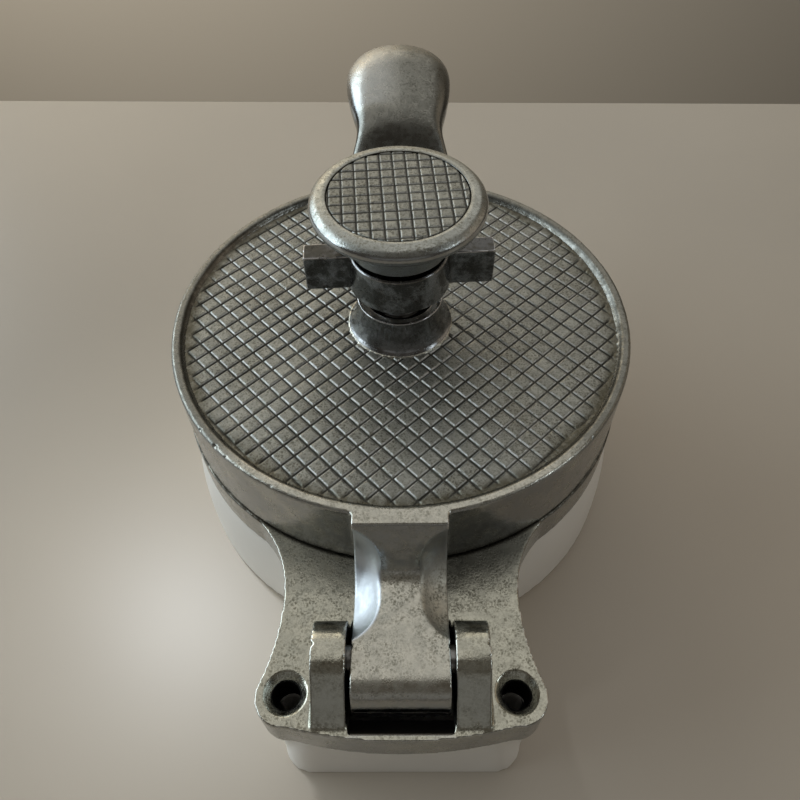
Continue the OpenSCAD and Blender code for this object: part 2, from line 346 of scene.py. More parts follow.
def grid_solid(name, outer, inner, z, low, pitch, half, depth, turn, phase, seed, wear, fade=0.0):
    """A disc with V grooves crossing on its top, as one closed solid.

    Its mesh lines follow the grooves. Half is half a groove's width, phase shifts the grooves, wear rounds
    the pads and fade is how far from the border the grooves grow shallow.
    """
    a = groove_lines(outer + pitch, pitch, half)
    n = len(a)
    u, v = np.meshgrid(a + phase[0], a + phase[1], indexing="ij")
    gu, gv = (g.ravel() for g in np.meshgrid(a, a, indexing="ij"))
    flat = np.stack([u.ravel(), v.ravel(), np.zeros(n * n)], 1)
    strength_u = 1 + 0.22 * noise3(flat * (1, 0.35, 1), 9, seed)
    strength_v = 1 + 0.22 * noise3(flat * (0.35, 1, 1), 9, seed + 1)
    groove_u = groove_shape(gu, pitch, half) * strength_u
    groove_v = groove_shape(gv, pitch, half) * strength_v
    groove = np.maximum(groove_u, groove_v)
    from_edge = outer - np.hypot(u, v).ravel() + 1.2 * noise3(flat, 6, seed + 5)
    grime_and_painted_shade = 0 * from_edge
    if fade > 0:
        groove *= step(0.25 * fade, fade, from_edge)
        # Darker along the border.
        grime_and_painted_shade = step(1.9 * fade, 0.4 * fade, from_edge)
    pad = np.clip((np.minimum(from_groove(gu, pitch), from_groove(gv, pitch)) - half) / 0.5, 0, 1)
    crown = -wear * (1 - pad) ** 2 * (groove <= 0)
    cell = np.stack([np.floor(gu / pitch), np.floor(gv / pitch), np.zeros(n * n)], 1)
    tilt = noise3(cell + 0.5, 0.71, seed + 4)
    height = z - depth * groove + crown - 0.02 * (groove <= 0) * (0.5 - 0.5 * tilt)
    height += 0.014 * noise3(flat, 2.2, seed + 2) + 0.01 * noise3(flat, 0.7, seed + 3)
    c, s = math.cos(turn), math.sin(turn)
    x = (c * u - s * v).ravel()
    y = (s * u + c * v).ravel()
    r = np.hypot(x, y)
    scale = np.where(r > outer, outer / r.clip(1e-9), 1)
    if inner > 0:
        scale = np.where(r < inner, inner / r.clip(1e-9), scale)
    away = ((r > outer) | (r < inner)).reshape(n, n)
    index = np.arange(n * n).reshape(n, n)
    kept = ~(away[:-1, :-1] & away[1:, :-1] & away[1:, 1:] & away[:-1, 1:])
    faces = np.stack([index[:-1, :-1], index[1:, :-1], index[1:, 1:], index[:-1, 1:]], -1)[kept]
    used = np.unique(faces)
    new_index = np.full(n * n, -1)
    new_index[used] = np.arange(len(used))
    verts = np.stack([x * scale, y * scale, height], 1)[used]
    obj = new_object(name, verts, new_index[faces].tolist())
    # Where the groove walls meet the pads; the material paints a highlight there.
    lip = step(0.1, 0.3, groove) * step(0.75, 0.5, groove)
    set_layer(obj, "groove", np.clip(groove[used], 0, 1))
    set_layer(obj, "lip", lip[used])
    set_layer(obj, "cell", 0.5 + 0.5 * tilt[used])
    set_layer(obj, "grime_and_painted_shade", grime_and_painted_shade[used])
    close_below(obj, low)
    return obj


def roughen(obj, coarse, fine, seed):
    """Slight unevenness of a hand-finished casting, within the piece's own box."""
    p, n = get_points(obj), get_normals(obj)
    low, high = p.min(0), p.max(0)
    shift = coarse * (noise3(p, 7, seed) + 0.5 * noise3(p, 3, seed + 1))
    shift += fine * noise3(p, 1.1, seed + 2)
    set_points(obj, np.clip(p + n * shift[:, None], low, high))


def dent(obj, spots):
    """Knocks small dents into a piece. A spot is (x, y, z, radius, depth)."""
    p, n = get_points(obj), get_normals(obj)
    for x, y, z, radius, depth in spots:
        d = np.linalg.norm(p - (x, y, z), axis=1) / radius
        p -= n * (depth * step(1, 0.1, d))[:, None]
    set_points(obj, p)


# ---- materials ----


class Shader:
    """A node material built in short lines."""

    def __init__(self, name):
        self.material = bpy.data.materials.new(name)
        self.material.use_nodes = True
        self.tree = self.material.node_tree
        self.surface = next(n for n in self.tree.nodes if n.type == "BSDF_PRINCIPLED")
        self.object = self.node("ShaderNodeTexCoord").outputs["Object"]

    def node(self, kind, settings=(), **inputs):
        n = self.tree.nodes.new(kind)
        for key, value in dict(settings).items():
            setattr(n, key, value)
        for key, value in inputs.items():
            self.put(n.inputs[int(key[1:]) if key[0] == "i" and key[1:].isdigit() else key], value)
        return n

    def put(self, socket, value):
        if isinstance(value, bpy.types.NodeSocket):
            self.tree.links.new(value, socket)
        else:
            socket.default_value = value

    def set(self, name, value):
        self.put(self.surface.inputs[name], value)

    def noise(self, size, detail=2.0, rough=0.5, out="Fac"):
        """Noise with features of about the given size in millimetres."""
        scale = 1 / (size * MM)
        n = self.node("ShaderNodeTexNoise", Vector=self.object, Scale=scale, Detail=detail, Roughness=rough)
        return n.outputs[out]

    def vector(self, how, a, **inputs):
        return self.node("ShaderNodeVectorMath", {"operation": how}, i0=a, **inputs).outputs[0]

    def specks(self, size, outer, inner):
        """Scattered irregular dots a size apart: 1 inside the inner share of it and 0 outside the outer."""
        push = self.vector("SCALE", self.noise(0.7 * size, out="Color"), Scale=1.1 * size * MM)
        where = self.vector("ADD", self.object, i1=push)
        dots = self.node("ShaderNodeTexVoronoi", Vector=where, Scale=1 / (size * MM))
        return self.ramp(dots.outputs["Distance"], inner, outer, 1, 0)

    def layer(self, name):
        return self.node("ShaderNodeAttribute", {"attribute_name": name}).outputs["Fac"]

    def ramp(self, value, low, high, start=0.0, end=1.0):
        """Maps low..high to start..end smoothly."""
        n = self.node("ShaderNodeMapRange", {"interpolation_type": "SMOOTHSTEP"}, Value=value)
        for key, v in zip(("From Min", "From Max", "To Min", "To Max"), (low, high, start, end)):
            n.inputs[key].default_value = v
        return n.outputs[0]

    def math(self, how, a, b=0.0):
        return self.node("ShaderNodeMath", {"operation": how}, i0=a, i1=b).outputs[0]

    def mix(self, factor, a, b, how="MIX"):
        n = self.node("ShaderNodeMix", {"data_type": "RGBA", "blend_type": how})
        sockets = [s for s in n.inputs if s.enabled]
        for socket, value in zip(sockets, (factor, a, b)):
            self.put(socket, (*value, 1) if isinstance(value, tuple) else value)
        return next(s for s in n.outputs if s.enabled)

    def up(self):
        """How far the surface faces up at rest, from 0 to 1."""
        normal = self.node("ShaderNodeTexCoord").outputs["Normal"]
        z = self.node("ShaderNodeSeparateXYZ", i0=normal).outputs[2]
        return self.math("MAXIMUM", z, 0.0)

    def bump(self, height, strength, distance):
        """Adds a height on top of any bump that is already there."""
        n = self.node("ShaderNodeBump", Height=height, Strength=strength, Distance=distance * MM)
        old = self.surface.inputs["Normal"]
        if old.is_linked:
            self.put(n.inputs["Normal"], old.links[0].from_socket)
        self.put(old, n.outputs[0])


def cast_material(name, top, side, speckle, top_rough, side_rough):
    """Worn cast aluminium: pale oxide with dark specks on upward faces, and darker, smoother walls whose
    colour is partly painted shade.
    """
    s = Shader(name)
    up = s.ramp(s.up(), 0.35, 0.9)
    patches = s.noise(11, 4, 0.6)
    cloud = s.noise(2.8, 5, 0.65)
    fine = s.noise(0.6, 4, 0.7)
    polish = s.layer("polish")
    satin_and_painted_sheen = s.layer("satin_and_painted_sheen")
    dots = s.math("MAXIMUM", s.specks(0.75, 0.55, 0.25), s.math("MULTIPLY", s.specks(0.42, 0.6, 0.25), 0.75))
    speck = s.math("MULTIPLY", dots, s.ramp(s.noise(2.6, 4, 0.7), 0.38, 0.58, 0.25, 1))
    speck = s.math("MULTIPLY", speck, s.ramp(patches, 0.28, 0.6, 0.35, 1))
    speck = s.math("MULTIPLY", speck, s.ramp(up, 0, 1, 0.3, 1))
    speck = s.math("MULTIPLY", speck, s.ramp(s.math("MAXIMUM", polish, satin_and_painted_sheen), 0, 1, 1, 0.3))
    edge = s.ramp(s.math("ADD", s.layer("edge"), s.math("MULTIPLY", cloud, 0.3)), 0.45, 0.95)
    hollow = s.ramp(s.layer("hollow"), 0.08, 0.5)
    grime_and_painted_shade = s.math("MULTIPLY", s.layer("grime_and_painted_shade"), s.ramp(cloud, 0.25, 0.6, 0.6, 1))
    # Upward faces take the pale oxide colour; the walls' darker colour is partly painted shade.
    color = s.mix(up, side, top)
    color = s.mix(s.ramp(cloud, 0.35, 0.7, 0, 0.45), color, tuple(c * 0.62 for c in top))
    color = s.mix(s.ramp(patches, 0.42, 0.75, 0, 0.3), color, tuple(min(1, c * 1.25) for c in top))
    color = s.mix(s.math("MULTIPLY", speck, speckle), color, (0.17, 0.16, 0.115))
    # Painted shade in creases and hollows.
    color = s.mix(s.math("MULTIPLY", hollow, 0.7), color, (0.05, 0.043, 0.03))
    # Convex edges painted lighter: rubbed wear and a painted highlight.
    color = s.mix(s.math("MULTIPLY", edge, 0.5), color, (0.78, 0.78, 0.77))
    # Painted sheen: a pale bluish window reflection on the left scoop and the grip's lit part.
    color = s.mix(s.math("MULTIPLY", satin_and_painted_sheen, 0.8), color, (0.66, 0.71, 0.77))
    # Darker rim top, and painted shade on the handle and on the base plate round the lid's ring.
    color = s.mix(s.math("MULTIPLY", s.layer("darkening_and_painted_shade"), 0.68), color, (0.095, 0.098, 0.09))
    # Darker along the parting seams and the deck's border.
    color = s.mix(s.math("MULTIPLY", grime_and_painted_shade, 0.92), color, (0.03, 0.026, 0.018))
    # Painted shade, near black, where the inside of bores, slots and undersides shows.
    color = s.mix(s.layer("inside"), color, (0.012, 0.011, 0.01))
    s.set("Base Color", color)
    s.set("Metallic", s.ramp(s.math("MULTIPLY", up, s.ramp(cloud, 0.3, 0.65)), 0, 1, 1, 0.85))
    rough = s.ramp(up, 0, 1, side_rough, top_rough)
    rough = s.math("ADD", rough, s.ramp(cloud, 0.3, 0.7, -0.05, 0.08))
    rough = s.math("ADD", rough, s.math("MULTIPLY", s.math("MAXIMUM", speck, satin_and_painted_sheen), 0.16))
    rough = s.math("ADD", rough, s.math("MULTIPLY", s.layer("matte"), 0.25))
    rough = s.math("SUBTRACT", rough, s.math("MULTIPLY", s.math("MAXIMUM", edge, polish), 0.11))
    s.set("Roughness", s.math("MAXIMUM", rough, s.layer("inside")))
    s.bump(s.math("SUBTRACT", fine, speck), 0.3, 0.07)
    s.bump(cloud, 0.25, 0.18)
    return s


def bright_material(name, color, rough, grime_and_painted_shade, top=1.0):
    """Polished aluminium that has dulled: smudges, uneven gloss, grease and dark pits; edges lighter from
    wear and a painted highlight, and painted shade in hollows and insides.

    Top is how light its upward faces are, as a share of the color; below 1 it paints shade on them.
    """
    s = Shader(name)
    smudge = s.noise(3.5, 5, 0.6)
    fine = s.noise(0.5, 3, 0.7)
    grain = s.noise(0.9, 3, 0.6)
    pits = s.math("MULTIPLY", s.ramp(fine, 0.55, 0.66), s.ramp(smudge, 0.4, 0.65))
    edge = s.ramp(s.layer("edge"), 0.25, 0.7)
    hollow = s.ramp(s.layer("hollow"), 0.05, 0.5)
    mixed = s.mix(s.ramp(smudge, 0.35, 0.7, 0, 0.4), color, tuple(c * 0.5 for c in color))
    # With top below 1, upward faces are darkened as painted shade.
    mixed = s.mix(s.ramp(s.up(), 0.4, 0.9), mixed, tuple(c * top for c in color))
    grease = s.math("MULTIPLY", s.ramp(s.noise(6, 5, 0.7), 0.42, 0.56), 0.75 * grime_and_painted_shade ** 4)
    mixed = s.mix(grease, mixed, (0.06, 0.057, 0.045))
    mixed = s.mix(s.math("MULTIPLY", pits, grime_and_painted_shade), mixed, (0.03, 0.028, 0.022))
    # Painted shade in creases and hollows.
    mixed = s.mix(s.math("MULTIPLY", hollow, 0.7), mixed, (0.05, 0.045, 0.035))
    # Convex edges painted lighter: rubbed wear and a painted highlight.
    mixed = s.mix(s.math("MULTIPLY", edge, 0.7), mixed, (0.85, 0.85, 0.85))
    # Painted shade, near black, inside recesses.
    mixed = s.mix(s.layer("inside"), mixed, (0.012, 0.011, 0.01))
    s.set("Base Color", mixed)
    s.set("Metallic", 1.0)
    gloss = s.math("ADD", s.ramp(smudge, 0.3, 0.7, rough - 0.06, rough + 0.1), s.math("MULTIPLY", pits, 0.3))
    gloss = s.math("SUBTRACT", gloss, s.math("MULTIPLY", edge, 0.08))
    s.set("Roughness", s.math("MAXIMUM", gloss, s.layer("inside")))
    s.bump(grain, 0.12, 0.06)
    s.bump(s.math("SUBTRACT", 1.0, pits), 0.4, 0.08)
    return s


def steel_material():
    """Plain dull steel for the pins and screws."""
    s = Shader("dull_steel")
    smudge = s.noise(2.0, 4, 0.6)
    s.set("Base Color", s.mix(s.ramp(smudge, 0.35, 0.7), (0.42, 0.42, 0.41), (0.2, 0.19, 0.17)))
    s.set("Metallic", 1.0)
    s.set("Roughness", s.ramp(smudge, 0.3, 0.7, 0.28, 0.48))
    s.bump(s.noise(0.3, 3, 0.6), 0.15, 0.04)
    return s


def pedestal_material():
    """Pale plastic, with painted shade where only its inside shows."""
    s = Shader("pale_plastic")
    cloud = s.noise(30, 3, 0.5)
    color = s.mix(s.ramp(cloud, 0.3, 0.7), (0.90, 0.87, 0.81), (0.86, 0.83, 0.77))
    # Painted shade, near black, on the inside.
    s.set("Base Color", s.mix(s.layer("inside"), color, (0.012, 0.011, 0.01)))
    s.set("Roughness", s.math("MAXIMUM", s.ramp(s.noise(4, 4, 0.6), 0.3, 0.7, 0.36, 0.46), s.layer("inside")))
    s.bump(s.noise(0.8, 3, 0.5), 0.08, 0.05)
    return s


def floor_material():
    """Pale satin table top."""
    s = Shader("pale_table")
    cloud = s.noise(160, 3, 0.5)
    s.set("Base Color", s.mix(s.ramp(cloud, 0.3, 0.7), (0.50, 0.442, 0.362), (0.47, 0.416, 0.342)))
    s.set("Roughness", 0.33)
    s.bump(s.noise(1.5, 3, 0.5), 0.05, 0.05)
    return s


def wall_material():
    """Matte wall far behind the table."""
    s = Shader("backdrop")
    s.set("Base Color", (0.36, 0.325, 0.27, 1))
    s.set("Roughness", 0.9)
    return s


def grid_material(name, top, groove_dark, painted_lip_highlight):
    """Checkered surface: pads with a worn oxide film, a painted highlight on the groove lips, and dirt with
    painted shade in the grooves.
    """
    s = Shader(name)
    patches = s.noise(14, 4, 0.6)
    cloud = s.noise(2.2, 5, 0.65)
    fine = s.noise(0.6, 4, 0.7)
    groove = s.layer("groove")
    dots = s.math("MAXIMUM", s.specks(0.8, 0.5, 0.2), s.math("MULTIPLY", s.specks(0.4, 0.5, 0.2), 0.8))
    speck = s.math("MULTIPLY", dots, s.ramp(patches, 0.3, 0.6, 0.45, 1))
    color = s.mix(s.ramp(cloud, 0.3, 0.7, 0, 0.55), top, tuple(c * 0.55 for c in top))
    color = s.mix(s.ramp(s.layer("cell"), 0.2, 0.9, 0, 0.3), color, tuple(c * 0.5 for c in top))
    color = s.mix(s.ramp(patches, 0.42, 0.75, 0, 0.35), color, (0.24, 0.225, 0.17))
    color = s.mix(s.math("MULTIPLY", speck, 0.75), color, (0.09, 0.085, 0.065))
    # Darker along the deck's border by the rim.
    border_darkening = s.math("MULTIPLY", s.layer("grime_and_painted_shade"), s.ramp(cloud, 0.3, 0.6, 0.45, 0.85))
    color = s.mix(border_darkening, color, (0.1, 0.09, 0.06))
    lip = s.math("MULTIPLY", s.layer("lip"), s.ramp(cloud, 0.35, 0.6, 0.1, 1))
    lip = s.math("MULTIPLY", lip, s.ramp(s.layer("grime_and_painted_shade"), 0, 0.6, 1, 0))
    # Painted highlight on the groove lips.
    color = s.mix(s.math("MULTIPLY", lip, painted_lip_highlight), color, (0.8, 0.8, 0.79))
    # Dirt and painted shade in the grooves.
    grime_and_painted_shade = s.math("MULTIPLY", s.ramp(groove, 0.4, 0.8), s.ramp(cloud, 0.2, 0.6, 0.7, 1))
    color = s.mix(s.math("MULTIPLY", grime_and_painted_shade, groove_dark), color, (0.03, 0.028, 0.02))
    s.set("Base Color", color)
    s.set("Metallic", s.ramp(grime_and_painted_shade, 0, 1, 0.9, 0.3))
    rough = s.math("ADD", s.ramp(cloud, 0.3, 0.7, 0.34, 0.46), s.math("MULTIPLY", grime_and_painted_shade, 0.25))
    s.set("Roughness", s.math("SUBTRACT", rough, s.math("MULTIPLY", lip, 0.12)))
    s.bump(s.math("SUBTRACT", fine, speck), 0.5, 0.12)
    s.bump(cloud, 0.25, 0.15)
    return s


knob_mat = cast_material(
    "cast_knob",
    top=(0.47, 0.485, 0.45),
    side=(0.36, 0.375, 0.39),
    speckle=0.75,
    top_rough=0.26,
    side_rough=0.14,
)
lid_mat = cast_material(
    "cast_lid",
    top=(0.68, 0.665, 0.58),
    side=(0.31, 0.33, 0.35),
    speckle=0.8,
    top_rough=0.27,
    side_rough=0.2,
)
base_mat = cast_material(
    "cast_base",
    top=(0.62, 0.61, 0.51),
    side=(0.33, 0.345, 0.355),
    speckle=0.85,
    top_rough=0.19,
    side_rough=0.2,
)
bright_mat = bright_material("worn_polish", (0.36, 0.365, 0.37), rough=0.2, grime_and_painted_shade=0.9)
# Top 0.3 paints shade on the collar's upward faces, under the knob.
collar_mat = bright_material("greasy_collar", (0.42, 0.43, 0.44), rough=0.17, grime_and_painted_shade=1.0, top=0.3)
plate_mat = bright_material("turned_plate", (0.62, 0.62, 0.60), rough=0.25, grime_and_painted_shade=0.4)
steel_mat = steel_material()
deck_mat = grid_material("checkered_deck", (0.395, 0.40, 0.36), groove_dark=0.95, painted_lip_highlight=0.6)
knob_grid_mat = grid_material("checkered_knob", (0.37, 0.38, 0.345), groove_dark=0.9, painted_lip_highlight=0.3)


def finish_piece(obj, body, shader, slot_name, *nodes):
    """Gives a piece its material and body, and hides the CAD nodes that it replaces. Its slot name is not
    used.
    """
    obj.data.materials.clear()
    obj.data.materials.append(shader.material)
    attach(obj, body)
    if nodes:
        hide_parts(*nodes)
    return obj


# ---- lid: ring, boss, arm and handle ----


def notch(x, y, side, z0, z1):
    """A small V cutter on an edge, opening towards side."""
    wide = NOTCH + 0.3
    corners = [(x + side * 0.6, y - wide), (x + side * 0.6, y + wide), (x - side * NOTCH, y)]
    return prism("notch", corners[::side], z0, z1)


def soften_handle(lid):
    """Smooths the handle, and the crease where the arm turns level."""
    p = get_points(lid)
    edges = edge_pairs(lid)
    soft = np.stack([averaged(p[:, k], edges, 90) for k in range(3)], 1)
    x, y, z = p.T.copy()
    handle = step(65, 71, y)
    crease = step(-64, -68, y) * step(-84, -80, y) * step(6.5, 4, np.abs(x)) * step(44, 46, z)
    set_points(lid, p + (soft - p) * (handle + crease)[:, None])


def make_room(lid):
    """Lowers the casting's own deck and boss, so that the finer pieces cover them."""
    p, n = get_points(lid), get_normals(lid)
    z = p[:, 2]
    r = np.hypot(p[:, 0], p[:, 1])
    deck = (np.abs(z - DECK_Z) < 0.3) & (r < DECK_R - 0.2) & (r > BOSS_FOOT_R)
    p[deck, 2] -= 0.9
    boss = (z > DECK_Z - 0.4) & (z < BOSS_Z - 0.3) & (r > 10.4) & (r < BOSS_FOOT_R) & (n[:, 2] < 0.75)
    up = np.clip((z - DECK_Z) / (BOSS_Z - DECK_Z), 0, 1)
    bell = 10.9 + 2.4 * (1 - up) ** 1.9
    p[:, :2] *= np.where(boss, np.minimum(1, bell / r.clip(1e-6)), 1)[:, None]
    p[(r < 12) & (z > BOSS_Z - 3.3), 2] -= 0.5
    set_points(lid, p)


def chip_nose(lid):
    """Breaks the lower front edge of the arm's barrel."""
    p = get_points(lid)
    near = step(3.2, 0.4, np.abs(p[:, 1] - NOSE_Y)) * step(2.4, 0.3, np.abs(p[:, 2] - NOSE_Z))
    near *= np.abs(p[:, 0]) < ARM_HALF - 0.2
    chips = noise3(p * (1, 0.3, 0.3), 1.1, 31) + 0.6 * noise3(p * (1, 0.3, 0.3), 0.5, 32)
    depth = 0.6 * near * np.clip(chips + 0.1, 0, 1)
    p[:, 1:] -= depth[:, None] * np.array([0.45, 0.9])
    set_points(lid, p)


# Dents on the ring's rim: the angle in degrees, the radius and the depth.
RIM_DENTS = (
    (218, 1.0, 0.5), (221, 0.7, 0.4), (224, 1.3, 0.6), (228, 0.8, 0.45), (231, 0.7, 0.35), (212, 0.8, 0.4),
    (206, 0.7, 0.3), (236, 0.6, 0.35), (241, 0.9, 0.35), (247, 0.6, 0.3), (200, 0.6, 0.3), (255, 0.5, 0.25),
    (288, 0.8, 0.35), (301, 0.7, 0.3), (318, 0.9, 0.3), (152, 0.9, 0.4), (20, 0.8, 0.3), (47, 0.7, 0.3),
)
HANDLE_DENTS = [
    (-9.5, 103, RIM_Z + 20, 1.6, 0.45),
    (3, 100, RIM_Z + 20.4, 1.0, 0.2),
    (7, 108, RIM_Z + 19, 0.9, 0.2),
]


def rim_dent(degrees, radius, depth):
    a = math.radians(degrees)
    return RING_R * math.cos(a), RING_R * math.sin(a), RIM_Z, radius, depth


def mark_lid(lid):
    """Layers of the lid: its darker seam and deck border, a darker rim top and painted shade on the handle,
    painted sheen, matte and polished parts, and painted shade inside.
    """
    p = get_points(lid)
    x, y, z = p.T
    r = np.hypot(x, y)
    left = x < 0
    wander = 0.25 * noise3(p, 2.5, 51)
    # Darker along the parting seam and the deck's border by the rim.
    seam = step(0.75, 0.2, np.abs(z - RING_Z) + wander) * step(1.2, 0.6, np.abs(r - RING_R))
    border = step(DECK_R + 1.5, DECK_R + 0.7, r + wander) * step(DECK_Z - 0.3, DECK_Z, z) * (r > DECK_R - 1)
    set_layer(lid, "grime_and_painted_shade", np.clip(seam + 0.8 * border, 0, 1))

    rim = step(RIM_Z - 1, RIM_Z - 0.3, z) * step(RING_R + 0.6, RING_R - 0.2, r) * step(-52, -35, y)
    # Darker rim top behind the front; painted shade on the handle, strongest on its right and towards the
    # ring.
    shade = np.maximum(step(-9, 5, x + 2 * noise3(p, 5, 61)), step(88, 84, y))
    darkening_and_painted_shade = 1.6 * rim * np.where(x > 0, 0.85, 1.0) + step(66, 74, y) * (0.35 + 0.65 * shade)
    set_layer(lid, "darkening_and_painted_shade", np.clip(darkening_and_painted_shade, 0, 1))

    from_scoop = np.linalg.norm(np.stack([np.abs(x), y, z], 1) - SCOOP, axis=1) - SCOOP_R
    scoop = step(0.45, 0.25, np.abs(from_scoop)) * (np.abs(x) < ARM_HALF + 0.2)
    # Painted sheen: a window reflection on the left scoop and a highlight on the unshaded back of the grip.
    painted_grip_highlight = 0.4 * step(84, 88, y) * (1 - shade)
    set_layer(lid, "satin_and_painted_sheen", np.maximum(scoop * left, painted_grip_highlight))
    set_layer(lid, "matte", scoop * (x > 0))

    barrel = step(-88, -94, y) * (np.abs(x) < ARM_HALF + 1)
    grip = 0.5 * step(70, 84, y) * left
    set_layer(lid, "polish", np.clip(0.45 * barrel + grip, 0, 1))

    # Painted shade, near black, in the pin's bore and under the barrel's lower lip.
    bore = np.hypot(y - PIN_Y, z - PIN_Z) < 3.6
    along = p * (1, 0.2, 0)
    lip_z = LIP_Z + 0.4 * noise3(along, 1.3, 33) + 0.25 * noise3(along, 0.6, 34)
    set_layer(lid, "inside", bore | ((y < -80) & (z < lip_z)))


lid = copy_of("lid", "lid_casting")
carve(lid, [notch(side * ARM_HALF, -86.6, side, 46.5, 51.5) for side in (-1, 1)])
cast(lid, 0.4, 3)
soften_handle(lid)
make_room(lid)
chip_nose(lid)
roughen(lid, 0.045, 0.012, 5)
dent(lid, [rim_dent(*spot) for spot in RIM_DENTS] + HANDLE_DENTS)
mark_edges(lid, 0.7)
mark_lid(lid)
finish_piece(lid, "lid", lid_mat, "cast_aluminium", "lid_casting")

deck_top = grid_solid(
    "lid_deck",
    outer=DECK_R + 0.9,
    inner=13.2,
    z=DECK_Z + 0.02,
    low=DECK_Z - 1.6,
    pitch=DECK_PITCH,
    half=0.6,
    depth=0.5,
    turn=math.radians(43.5),
    phase=(1.09, 1.68),
    seed=3,
    wear=0.03,
    fade=2.6,
)
finish_piece(deck_top, "lid", deck_mat, "cast_aluminium")


def boss_outline():
    """The boss's bell with its flared foot, and the bore and recess inside it."""
    bell = []
    for k in range(25):
        t = k / 24
        level = DECK_Z - 0.1 + (BOSS_Z - 0.45 - DECK_Z + 0.1) * t
        bell.append((11.42 + 2.3 * (1 - t) ** 1.8 + 0.75 * math.exp(-(level - DECK_Z) / 0.45), level, 0))
    bell[0] = (bell[0][0] + 0.25, DECK_Z - 0.9, 0)
    bore = STEM_R + 0.06
    top = [(11.4, BOSS_Z, 0.4), (9.3, BOSS_Z, 0.35), (9.2, BOSS_Z - 3, 0.3)]
    return rounded(bell + top + [(bore, BOSS_Z - 3, 0.1), (bore, DECK_Z - 0.9, 0)])


boss_piece = turned("lid_boss", boss_outline(), 256)
p = get_points(boss_piece)
r = np.hypot(p[:, 0], p[:, 1])
# Painted shade, near black, in the boss's recess.
set_layer(boss_piece, "inside", (r < 9.6) & (p[:, 2] < BOSS_Z - 0.25))
# Painted highlight on the boss's top rim and its flared foot.
lip_edge = step(11.9, 11.2, r) * step(BOSS_Z - 0.55, BOSS_Z - 0.2, p[:, 2])
set_layer(boss_piece, "edge", lip_edge + step(14.0, BOSS_FOOT_R, r))
finish_piece(boss_piece, "lid", bright_mat, "cast_aluminium")

# ---- base casting with its hinge plate and ears ----


def mark_base(base):
    """Layers of the base: its darker seam, painted shade round the lid's ring, polished parts and painted
    shade inside.
    """
    p, n = get_points(base), get_normals(base)
    x, y, z = p.T
    r = np.hypot(x, y)
    wander = 0.25 * noise3(p, 2.5, 52)
    seam = step(0.75, 0.2, np.abs(z - BASE_TOP) + wander) * step(0.9, 0.3, np.abs(r - RING_R - 0.1))
    set_layer(base, "grime_and_painted_shade", seam)

    # Painted shadow and reflection of the lid's ring on the plate next to it, stronger on the right.
    near_ring = step(RING_R + 17, RING_R + 3, r + 4 * wander) * step(-50, -56, y)
    on_top = step(BASE_TOP - 0.6, BASE_TOP, z)
    set_layer(base, "darkening_and_painted_shade", near_ring * on_top * np.where(x > 0, 1.0, 0.5))

    across = step(11.5, 12.2, np.abs(x)) * step(EAR_OUT + 0.3, EAR_OUT - 0.2, np.abs(x))
    set_layer(base, "polish", 0.5 * across * step(BASE_TOP + 0.3, BASE_TOP + 1.5, z))

    # Painted shade, near black, in the screw holes, the slot and on the underside.
    hole = (np.hypot(np.abs(x) - SCREW_X, y - SCREW_Y) < 3.7) & (z < BASE_TOP - 2.2)
    slot = (np.abs(x) < SLOT_HALF) & (y > SLOT_FRONT) & (y < SLOT_BACK) & (z < BASE_TOP - 1.2)
    under = (z < BASE_TOP - 1) & (n[:, 2] < -0.5) & (z > BASE_LOW + 1)
    set_layer(base, "inside", hole | slot | under)


base = copy_of("base", "base_casting")
carve(base, [notch(side * EAR_OUT, -86.8, side, 50.4, 54) for side in (-1, 1)])
cast(base, 0.4, 3)
roughen(base, 0.045, 0.01, 11)
mark_edges(base, 0.7)
mark_base(base)
finish_piece(base, "base", base_mat, "cast_aluminium", "base_casting")

# ---- pedestal ----


def mark_pedestal(pedestal):
    """Paints shade on the pedestal's inside, and on what shows of it through the hinge plate's slot."""
    p, n = get_points(pedestal), get_normals(pedestal)
    x, y, z = p.T
    middle = np.stack([0 * x, np.where(y < WAIST_Y, BLOCK_Y, 0.0)], 1)
    away = p[:, :2] - middle
    outward = (n[:, :2] * away).sum(1) / np.linalg.norm(away, axis=1).clip(1)
    inner_wall = ((outward < -0.2) | (n[:, 2] < -0.5)) & (z > 1.2)
    under_slot = (n[:, 2] > 0.25) & (z > 27) & (y < -65) & (np.abs(x) < 14)
    set_layer(pedestal, "inside", inner_wall | under_slot)


pedestal = copy_of("pedestal_shell", "pedestal")
cast(pedestal, 0.8, 6)
mark_pedestal(pedestal)
finish_piece(pedestal, "base", pedestal_material(), "pedestal_plastic", "pedestal")

# ---- knob ----


def drill_mesh(radius, y0, y1, z, sides=32):
    """Points and faces of a round cutter along +Y."""
    angles = [2 * math.pi * k / sides for k in range(sides)]
    ring = [(radius * math.cos(a), radius * math.sin(a)) for a in angles]
    verts = [(x, y, z + h) for y in (y0, y1) for x, h in ring]
    faces = [[k, sides + k, sides + (k + 1) % sides, (k + 1) % sides] for k in range(sides)]
    return verts, faces + [list(range(sides)), list(range(sides, 2 * sides))[::-1]]


